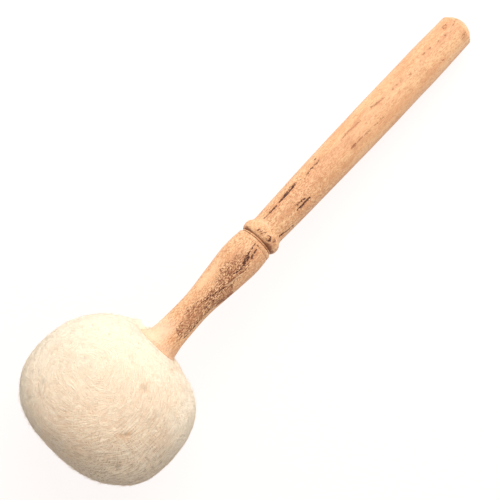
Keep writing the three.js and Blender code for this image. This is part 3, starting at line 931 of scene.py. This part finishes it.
# %% Draw the fibres' spines
FUZZ_COUNT = 7000
FUZZ_SEGMENTS = 5
FUZZ_LENGTH = (2, 7.5)
ROOT_DEPTH = 0.25 * MM
LIFT_CURVE = 1.6
LIFT_SPREAD = (1.6, 0.28)
LIFT_LIMITS = (0.05, 1.8)
BALL_RADIUS = 42 * MM
STRAY = 28
CURL = 22
dice = np.random.default_rng(131)
skin_ids = 1 + np.arange((len(skin_u) - 2) * HEAD_SIDES)
ring_radius = np.repeat(skin_r[1:-1], HEAD_SIDES)
chance = ring_radius / ring_radius.sum()
roots = dice.choice(skin_ids, FUZZ_COUNT, replace=False, p=chance)
start = once(felt_points, HEAD_SIDES)[roots]
outward = vectors_of(felt, "normal")[roots]


def veered(heading, angle):
    """The heading, turned by an angle in the plane of the skin."""
    return heading * np.cos(angle) + np.cross(outward, heading) * np.sin(angle)


heading = fibre_lie(start) * dice.choice([-1, 1], FUZZ_COUNT)[:, None]
heading = veered(heading, np.radians(dice.normal(0, STRAY, FUZZ_COUNT))[:, None])
length = dice.uniform(*FUZZ_LENGTH, FUZZ_COUNT)[:, None] * MM
lift = dice.gamma(*LIFT_SPREAD, FUZZ_COUNT)[:, None].clip(*LIFT_LIMITS) * MM
curl = np.radians(dice.normal(0, CURL, FUZZ_COUNT))[:, None]
spine, headings = [start - outward * ROOT_DEPTH], [heading]
for segment in range(1, FUZZ_SEGMENTS + 1):
    heading = veered(heading, curl)
    before, now = (segment - 1) / FUZZ_SEGMENTS, segment / FUZZ_SEGMENTS
    rise = lift * (now**LIFT_CURVE - before**LIFT_CURVE) + ROOT_DEPTH * (segment == 1)
    sink = (length / FUZZ_SEGMENTS) ** 2 * (2 * segment - 1) / (2 * BALL_RADIUS)
    spine.append(spine[-1] + heading * length / FUZZ_SEGMENTS + outward * (rise - sink))
    headings.append(heading)
spine, headings = np.stack(spine, axis=1), np.stack(headings, axis=1)
print(f"{FUZZ_COUNT} fibres, {length.mean() / MM:.1f} mm long on average")

# %% [markdown]
# Then every spine gets three points round it at each joint but the last, which is its tip. All
# fibres have the same faces, so the faces of one are made and counted on for the others.

# %% Grow the fibres
FUZZ_RADIUS = 0.055 * MM
FUZZ_TIP = 0.35
FUZZ_CLEARANCE = 0.02 * MM
side_way = np.cross(headings, outward[:, None, :])
side_way /= np.linalg.norm(side_way, axis=2)[..., None]
lift_way = np.cross(side_way, headings)
taper = FUZZ_RADIUS * np.linspace(1, FUZZ_TIP, FUZZ_SEGMENTS)[None, :, None]
tube = []
for turn in (0, TURN / 3, TURN * 2 / 3):
    ray = side_way[:, :-1] * math.cos(turn) + lift_way[:, :-1] * math.sin(turn)
    tube.append(spine[:, :-1] + ray * taper)
tube = np.stack(tube, axis=2).reshape(FUZZ_COUNT, -1, 3)
fuzz_points = np.concatenate([tube, spine[:, -1:]], axis=1)
fuzz_points[..., 2] = np.maximum(fuzz_points[..., 2], FUZZ_CLEARANCE)
per_fibre = fuzz_points.shape[1]
tip = per_fibre - 1
one_quads = [
    (3 * s + c, 3 * s + (c + 1) % 3, 3 * s + 3 + (c + 1) % 3, 3 * s + 3 + c)
    for s in range(FUZZ_SEGMENTS - 1)
    for c in range(3)
]
one_tris = [(tip - 3 + c, tip - 3 + (c + 1) % 3, tip) for c in range(3)] + [(2, 1, 0)]
base = np.arange(FUZZ_COUNT)[:, None, None] * per_fibre
fuzz_faces = [(np.array(one) + base).reshape(-1, len(one[0])) for one in (one_quads, one_tris)]
fuzz = filled_mesh("wool_fuzz", fuzz_points.reshape(-1, 3), fuzz_faces)
# the loose fibres take the painted highlight of the felt they grow from
give(fuzz, {"wool_highlight": np.repeat(once(wool_highlight, HEAD_SIDES)[roots], per_fibre)})

# %% [markdown]
# ## The ball of loose wool
# Under the felt lies a softer ball: carded fleece, wound round the knob in flat bands. The
# picture doesn't show it, but the part has it, so it gets its own shape. Each band is a ridge
# that follows a circle round the ball, and where bands cross, the higher one lies on top.

# %% Wind the ball
BAND_COUNT = 26
BAND_WIDTH = 5.5 * MM
BAND_HEIGHT = 1.1 * MM
BATT_SIDES = 220
BATT_INSET = 9.4 * MM
BATT_INNER = 18 * MM
BATT_STEP = 1.1 * MM
BATT_NAP = 0.12 * MM
outer_u, outer_r = opened_oval(BATT_INSET + BAND_HEIGHT, HOLE_RADIUS + 0.6 * MM, BATT_STEP)
core_u, core_r = opened_oval(BATT_INNER, HOLE_RADIUS, 2 * BATT_STEP)
bore_ends = np.array([outer_u[-1] - 0.3 * MM, core_u[-1]])
bore_u, bore_r = even_steps(bore_ends, np.full(2, HOLE_RADIUS), 2 * MM)
wound_u = np.concatenate([outer_u, bore_u[:-1], core_u[::-1]])
wound_r = np.concatenate([outer_r, bore_r[:-1], core_r[::-1]])
batt_u, batt_a, batt_r = spread(wound_u, wound_r, BATT_SIDES)
fleece = place(batt_u, batt_a, batt_r)
band_dice = np.random.default_rng(141)
poles = band_dice.normal(size=(BAND_COUNT, 3))
poles /= np.linalg.norm(poles, axis=1)[:, None]
bands = np.zeros(len(fleece))
wavy = 1.2 * MM * rough_noise(fleece, 14 * MM, 151, 2)
for order, pole in enumerate(poles):
    away = np.abs((fleece - head_middle) @ pole + wavy) / BAND_WIDTH
    height = np.sqrt(np.clip(1 - away**2, 0, 1)) * (0.55 + 0.45 * (order + 1) / BAND_COUNT)
    bands = np.maximum(bands, height)
outer = np.repeat(np.arange(len(wound_u)) < len(outer_u), BATT_SIDES)
calm = np.where(batt_u > 0, fade(batt_r, HOLE_RADIUS, HOLE_RADIUS + 3 * MM), 1) * outer
swell = (BAND_HEIGHT * bands + BATT_NAP * noise(fleece, 1.6 * MM, 161)) * calm
out_u, out_r = outward_way(wound_u, wound_r, BATT_SIDES)
wound = place(batt_u + swell * out_u, batt_a, batt_r + swell * out_r * (batt_r > 0))
batt = ring_mesh("wound_batt", wound, BATT_SIDES)
give(batt, {"band": bands}, BATT_SIDES)
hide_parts("wool_batt")

# %% [markdown]
# ## A helper for finishes
# Every finish here is a chain of nodes. Written out in full, such a chain is long and hard to
# read, so a small class does the wiring: each method adds a node and returns its output, ready
# to be fed into the next. The last colour is remembered, and a tint is laid over it.

# %% Make the finish helper
class Finish:
    """The nodes of a new material, or of something else that has a shader, such as the world."""

    def __init__(self, name, owners=bpy.data.materials, shader="Principled BSDF"):
        self.material = owners.new(name)
        self.material.use_nodes = True
        self.nodes = self.material.node_tree.nodes
        self.shader = self.nodes[shader]

    def feed(self, node, inputs):
        """Feeds plain values and other nodes' outputs into a node, by name or in order."""
        for name, value in inputs.items() if isinstance(inputs, dict) else enumerate(inputs):
            socket = node.inputs[name]
            if isinstance(value, bpy.types.NodeSocket):
                self.material.node_tree.links.new(value, socket)
            else:
                socket.default_value = (*value, 1) if socket.type == "RGBA" else value

    def add(self, kind, inputs=(), output=0, **settings):
        """Adds a node, sets it up, feeds its inputs and returns one of its outputs."""
        node = self.nodes.new("ShaderNode" + kind)
        for name, value in settings.items():
            setattr(node, name, value)
        self.feed(node, inputs)
        return node.outputs[output]

    def stored(self, name, output="Fac"):
        """A number ("Fac") or a vector ("Vector") that the mesh stores for each point."""
        return self.add("Attribute", output=output, attribute_name=name)

    def moved(self, vector, scale, shift=0):
        """The vector, scaled and moved. A plain number moves it to another part of the noise."""
        if isinstance(shift, (int, float)):
            shift = (shift, shift * 0.7, -shift)
        return self.add("VectorMath", (vector, scale, shift), operation="MULTIPLY_ADD")

    def noise(self, vector, size, detail=2, rough=0.5, warp=0):
        """Noise between 0 and 1; size is the width of its bumps in the vector's own unit."""
        inputs = {"Vector": vector, "Scale": 1 / size, "Detail": detail}
        return self.add("TexNoise", {**inputs, "Roughness": rough, "Distortion": warp}, "Fac")

    def grain(self, spot, squeeze, shift, *noise):
        """Noise drawn out along the stick, the longer the smaller squeeze is."""
        return self.noise(self.moved(spot, (squeeze, 1, 1), shift), *noise)

    def span(self, value, start, end, high=1, low=0):
        """low before start, high after end, a smooth step between them."""
        steps = (value, start, end, low, high)
        return self.add("MapRange", steps, interpolation_type="SMOOTHSTEP")

    def sum(self, how, *values):
        return self.add("Math", values, operation=how)

    def plus(self, *values):
        return self.sum("ADD", *values)

    def times(self, *values):
        return self.sum("MULTIPLY", *values)

    def tint(self, colour, share, *steps):
        """Lays a colour over the last one; share, or its span over the steps, says how much."""
        share = self.span(share, *steps) if steps else share
        # a mix node takes the share on input 0, and its two colours on 6 and 7
        self.colour = self.add("Mix", {0: share, 6: self.colour, 7: colour}, 2, data_type="RGBA")

    def shade(self, numbers, height=None, depth=0):
        """Gives the shader its colour, its plain numbers and a bump of some depth."""
        self.feed(self.shader, {"Base Color": self.colour, **numbers})
        if height is not None:
            bump = self.add("Bump", {"Height": height, "Distance": depth})
            self.feed(self.shader, {"Normal": bump})
        print(f"{self.material.name}: {len(self.nodes)} nodes")

    def cover(self, piece):
        piece.data.materials.clear()
        piece.data.materials.append(self.material)


# %% [markdown]
# ## Turned wood
# The stick is a pale, dense fruitwood with no polish. Along the grain it is streaked peach and
# cream. Short dark pores, about a millimetre long, are scattered over it. On the grip, where
# they are rubbed away, fine rusty ticks are left.

# %% Lay the grain that all the wood here has
WOOD_HIGHLIGHT = (0.93, 0.71, 0.53)
WOOD_PAINTED_SHADE = (0.66, 0.33, 0.19)
WOOD_PALE = (0.885, 0.605, 0.355)
WOOD_CREAM = (0.855, 0.538, 0.284)
WOOD_PEACH = (0.775, 0.415, 0.204)
WOOD_RUST = (0.61, 0.275, 0.125)
WOOD_TAN = (0.68, 0.365, 0.185)
WOOD_BROWN = (0.29, 0.095, 0.036)
WOOD_DARK = (0.105, 0.027, 0.011)


def lay_wood(finish, spot, lively=1):
    """Streaks, flecks and pores for the colour; returns the height for the bump."""
    # each grain: its squeeze, a shift, its size (mm), then its detail, roughness and warp
    broad = finish.grain(spot, 0.1, 0, 4.5, 3, 0.55, 0.4)
    streak = finish.grain(spot, 0.07, 17, 0.9, 3, 0.6, 0.2)
    fleck = finish.grain(spot, 0.4, 31, 0.55, 2, 0.6)
    pore = finish.grain(spot, 0.3, 47, 0.42, 1, 0.5)
    blotch = finish.grain(spot, 0.45, 61, 7, 3, 0.6, 0.5)
    finish.colour = WOOD_PEACH
    finish.tint(WOOD_CREAM, broad, 0.35, 0.65)
    finish.tint(WOOD_RUST, blotch, 0.5, 0.72, 0.55)
    finish.tint(WOOD_TAN, streak, 0.45, 0.72, 0.35)
    finish.tint(WOOD_RUST, finish.times(finish.span(fleck, 0.5, 0.62, 0.85), lively))
    finish.tint(WOOD_PALE, finish.times(finish.span(fleck, 0.48, 0.38, 0.75), lively))
    dark = finish.times(finish.span(pore, 0.6, 0.7), lively)
    finish.tint(WOOD_BROWN, finish.times(dark, 0.55))
    return finish.sum("SUBTRACT", finish.plus(streak, fleck), dark)


wood = Finish("turned_wood")
spot = wood.stored("grain_place", "Vector")
lively = wood.stored("lively")
height = lay_wood(wood, spot, lively)
# painted highlights, and painted light on the shaded lower flank
wood.tint(WOOD_PALE, wood.times(wood.stored("highlighted"), 0.65))
# painted highlight on the foot
wood.tint(WOOD_HIGHLIGHT, wood.stored("painted_foot_highlight"))
# painted shade on the flanks and the dome
wood.tint(WOOD_PAINTED_SHADE, wood.times(wood.stored("painted_shade"), 0.5))
tick = wood.span(wood.grain(spot, 0.28, 73, 0.62, 2, 0.6), 0.565, 0.64, 0.7)
wood.tint(WOOD_RUST, wood.times(tick, wood.span(lively, 0.9, 0.5)))

# %% [markdown]
# Then come the marks, in the order in which they were laid on the real stick: the speckled patch,
# the reddish stains, the darker groove, the dark marks, the ridges and the cracks. Among them lie
# painted shade on the bead's belly, at the groove's ends and along the patch's edge, and a painted
# highlight on the ridges. Fine grit breaks up the edge of each, so that none looks drawn.

# %% Finish the turned wood
patch = wood.stored("speckle")
grit = wood.grain(spot, 0.45, 5, 0.5, 2, 0.65)
uneven = wood.sum("SUBTRACT", grit, 0.5)
clot = wood.grain(spot, 0.5, 9, 2.4, 2, 0.5, 0.3)
wood.tint(WOOD_RUST, wood.times(patch, 0.34))
wood.tint(WOOD_PALE, wood.times(wood.span(grit, 0.46, 0.36, 0.85), wood.span(patch, 0.05, 0.4)))
thick = wood.plus(wood.times(patch, 0.16), wood.times(clot, 0.3))
speck = wood.span(wood.plus(grit, thick), 0.73, 0.85)
speck = wood.times(speck, wood.span(patch, 0.05, 0.35))
wood.tint(WOOD_BROWN, wood.times(speck, 0.97))
# reddish stains, and painted shade on the bead's belly
wood.tint(WOOD_RUST, wood.times(wood.stored("oval_share"), 0.4))
hollow = wood.stored("hollow")
# raised edges are drawn paler
wood.tint(WOOD_CREAM, hollow, -0.2, -0.55, 0.45)
# the groove is drawn darker
wood.tint(WOOD_BROWN, wood.plus(hollow, wood.times(clot, 0.8)), 0.7, 1.4, 0.75)
# dark marks, and painted shade at the groove's ends and along the patch's edge
wood.tint(WOOD_BROWN, wood.plus(wood.stored("dark_marks_and_shade"), wood.times(uneven, 1.6)), 0.1, 1.1, 0.85)
# painted highlight: the ridges and their grit are drawn pale
wood.tint(WOOD_PALE, wood.plus(wood.stored("ridge"), uneven), -0.25, 0.15, 0.55)
into = wood.plus(wood.stored("inside"), wood.times(uneven, 2.6))
wood.tint(WOOD_RUST, into, -0.75, 0, 0.45)
crack = wood.span(into, -0.22, 0.14)
wood.tint(WOOD_BROWN, wood.times(crack, 0.5))
wood.tint(WOOD_DARK, wood.times(crack, wood.span(lively, 0.35, 1, 0.97, 0.06)))
gloss = wood.span(height, 0.6, 1.2, 0.52, 0.7)
height = wood.sum("SUBTRACT", height, wood.times(wood.plus(speck, crack), 0.7))
numbers = {"Roughness": gloss, "Specular IOR Level": 0.4, "Diffuse Roughness": 0.6}
wood.shade(numbers, height, 0.1 * MM)
wood.cover(stick)

# %% [markdown]
# ## Felted wool
# Wool has no shine of its own, but its many fibre ends catch light at a grazing angle: that is the
# shader's sheen. The strands that we combed into the mesh also tint it, with painted shade in their
# valleys and paler on their ridges. Finer fibres than the mesh can hold come from noise whose level
# lines are drawn as thin ridges, and from noise smeared along the lie of the fibres.

# %% Lay the fine fibres that all the wool here has
WOOL_CREAM = (0.94, 0.735, 0.525)
WOOL_PALE = (0.97, 0.82, 0.64)
WOOL_WHITE = (0.97, 0.875, 0.705)
WOOL_GLARE = (0.99, 0.95, 0.9)
WOOL_SHADE = (0.83, 0.57, 0.375)
WOOL_AMBER = (0.8, 0.47, 0.23)
WOOL_DEEP = (0.42, 0.3, 0.2)
WOOL_SPECK = (0.2, 0.11, 0.06)
HAIR_TAPS = 4
HAIR_STEP = 0.42


def strands(finish, spot, size, lines, warp, shift):
    """Thin, winding ridges, 1 on a ridge and 0 between them."""
    level = finish.grain(spot, 1, shift, size, 2, 0.5, warp)
    return finish.span(finish.sum("SINE", finish.times(level, lines)), 0.2, 1)


def hairs(finish, spot, way, size, shift):
    """Fine noise smeared along the lie of the fibres: near 0.5 and hardly a pixel wide."""
    total = 0
    spot = finish.moved(spot, (1, 1, 1), shift)
    for tap in range(-HAIR_TAPS, HAIR_TAPS + 1):
        along_hair = finish.moved(way, (tap * HAIR_STEP,) * 3, spot)
        total = finish.plus(total, finish.noise(along_hair, size, 0))
    return finish.times(total, 1 / (2 * HAIR_TAPS + 1))


def lay_wool(finish, spot):
    """Mottled wool with fine threads; returns the height for the bump."""
    fine = strands(finish, spot, 6, 75, 0.6, 3)
    cross = strands(finish, spot, 4, 60, 0.9, 23)
    fluff = finish.noise(spot, 1.1, 3, 0.7, 0.8)
    thread = finish.sum("MAXIMUM", fine, cross)
    finish.colour = WOOL_CREAM
    finish.tint(WOOL_PALE, finish.noise(spot, 9, 4, 0.6, 0.5), 0.35, 0.7, 0.4)
    finish.tint(WOOL_SHADE, fluff, 0.55, 0.8, 0.35)
    finish.tint(WOOL_PALE, finish.times(thread, 0.3))
    return finish.plus(thread, fluff)


# %% Finish the felted wool
HAIR = 0.4
DULL = {"Roughness": 1, "Specular IOR Level": 0.1}
SHEEN = {"Diffuse Roughness": 1, "Sheen Weight": 0.2, "Sheen Roughness": 0.5}
wool = Finish("felted_wool")
spot = wool.stored("felt_place", "Vector")
height = lay_wool(wool, spot)
strand = wool.stored("fibre")
wool.tint(WOOL_SHADE, strand, 0, -1.1, 0.16)
wool.tint(WOOL_PALE, strand, 0.2, 1.2, 0.12)
wool.tint(WOOL_SHADE, wool.stored("coarse_fibre"), 0.1, -1.2, 0.08)
hair = hairs(wool, spot, wool.stored("lie", "Vector"), HAIR, 7)
cross_hair = hairs(wool, spot, wool.stored("cross_lie", "Vector"), HAIR, 57)
hair = wool.plus(hair, wool.times(cross_hair, 0.6))
wool.tint(WOOL_SHADE, hair, 0.79, 0.7, 0.75)
wool.tint(WOOL_WHITE, hair, 0.8, 0.9, 0.75)
# painted shade: on the side low in the picture the valleys between the hairs are darker and their
# crests paler
low_side_shade = wool.stored("low_side_shade")
wool.tint(WOOL_DEEP, wool.times(wool.span(hair, 0.81, 0.7), low_side_shade))
wool.tint(WOOL_WHITE, wool.times(wool.span(hair, 0.8, 0.88, 0.9), low_side_shade))
height = wool.plus(height, wool.span(hair, 0.68, 0.92, 2))
wool.tint(WOOL_AMBER, wool.times(wool.stored("smudge"), 0.48))
wool.tint(WOOL_DEEP, wool.times(wool.stored("pucker"), 0.35))
wool.tint(WOOL_SPECK, wool.grain(spot, 1, 90, 1, 1, 0.5), 0.775, 0.8, 0.55)
# painted highlight on the felt
in_light = wool.stored("wool_highlight")
wool.tint(WOOL_WHITE, in_light)
wool.tint(WOOL_GLARE, in_light, 0.7, 0.95, 0.6)
wool.shade({**DULL, **SHEEN}, height, 0.16 * MM)
wool.cover(felt)

loose = Finish("loose_fibre")
loose.colour = WOOL_CREAM
object_place = loose.add("TexCoord", output="Object")
loose.tint(WOOL_PALE, loose.noise(object_place, 3 * MM, 2), 0.35, 0.65)
# painted highlight on the loose fibres, as on the felt
loose.tint(WOOL_WHITE, loose.stored("wool_highlight"))
loose.shade(DULL)
loose.cover(fuzz)

# %% [markdown]
# ## The hidden pieces' finishes
# The loose wool is the same fleece, only fluffier and whiter. The knob and the wedge are plain
# sawn wood. They keep their measured shapes, and their grain runs along the stick.

# %% Finish the loose wool, the knob and the wedge
TO_MM = (1 / MM,) * 3
fluffy = Finish("loose_wool")
spot = fluffy.moved(fluffy.add("TexCoord", output="Object"), TO_MM)
height = lay_wool(fluffy, spot)
# painted shade in the gaps between the wound bands
fluffy.tint(WOOL_SHADE, fluffy.stored("band"), 0.75, 0.2, 0.7)
fluffy.shade({"Roughness": 1, "Sheen Weight": 0.2}, height, 0.3 * MM)
fluffy.cover(batt)

for node, shift, rough in (("core_knob", 12, 0.7), ("tenon_wedge", 40, 0.6)):
    sawn = Finish(node)
    inputs = {"Vector": sawn.add("TexCoord", output="Object"), "Angle": -math.radians(slope)}
    level = sawn.add("VectorRotate", inputs, rotation_type="Y_AXIS")
    spot = sawn.moved(level, TO_MM, shift)
    height = lay_wood(sawn, spot)
    rings = sawn.sum("SINE", sawn.times(sawn.grain(spot, 0.04, 0, 6, 2, 0.5, 0.6), 60))
    sawn.tint(WOOD_TAN, rings, 0.3, 1, 0.35)
    sawn.shade({"Roughness": rough}, height, 0.15 * MM)
    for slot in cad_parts[node].material_slots:
        slot.material = sawn.material


# %% [markdown]
# ## Floor and light
# A plain studio: a white sheet under the mallet, soft light from all round, and one large lamp
# beyond the top of the picture, which leaves the striking end of the ball in soft shade. The
# sheet and the world behind it read as white to the camera, but they don't light the mallet
# more than a grey room would, and the sheet still catches a faint shadow.

# %% Lay the floor and light the mallet
FLOOR_HALF = 3
FLOOR_COLOUR = (0.93, 0.905, 0.88)
WHITE_SHARE = 0.85
WHITE_COLOUR = (1, 0.953, 0.935)
WHITE_STRENGTH = 1.07
SKY = 0.61
LAMP_SIZE = 1
LAMP_POWER = 12.5
LAMP_TURN = math.radians(17)
LAMP_OUT = 0.76
LAMP_UP = 0.8
LAMP_AIM = Vector((0, 0, 0.03))

floor_mesh = bpy.data.meshes.new("floor")
corners = [(x * FLOOR_HALF, y * FLOOR_HALF, 0) for x, y in ((-1, -1), (1, -1), (1, 1), (-1, 1))]
floor_mesh.from_pydata(corners, [], [(0, 1, 2, 3)])
floor = put("floor", floor_mesh)
sheet = Finish("floor")
sheet.colour = FLOOR_COLOUR
sheet.shade({"Roughness": 1, "Specular IOR Level": 0})
glow = sheet.add("Emission", {"Color": WHITE_COLOUR, "Strength": WHITE_STRENGTH})
white_share = sheet.times(sheet.add("LightPath", output="Is Camera Ray"), WHITE_SHARE)
mixed = sheet.add("MixShader", {0: white_share, 1: sheet.shader.outputs[0], 2: glow})
sheet.feed(sheet.nodes["Material Output"], {"Surface": mixed})
sheet.cover(floor)

sky = Finish("studio", bpy.data.worlds, "Background")
bpy.context.scene.world = sky.material
seen = sky.add("LightPath", output="Is Camera Ray")
strength = sky.add("MapRange", {"Value": seen, "To Min": SKY, "To Max": WHITE_STRENGTH})
sky.feed(sky.shader, {"Color": (1, 1, 1), "Strength": strength})

lamp_data = bpy.data.lights.new("lamp", "AREA")
lamp_data.shape = "DISK"
lamp_data.size = LAMP_SIZE
lamp_data.energy = LAMP_POWER
lamp = put("lamp", lamp_data)
lamp_way = MALLET_TURN + LAMP_TURN
lamp.location = (LAMP_OUT * math.sin(lamp_way), LAMP_OUT * math.cos(lamp_way), LAMP_UP)
lamp.rotation_euler = (LAMP_AIM - lamp.location).to_track_quat("-Z", "Y").to_euler()
print(f"lamp of {LAMP_POWER} W, {LAMP_UP} m up")

# %% Finish
bpy.context.scene.view_settings.view_transform = "Standard"
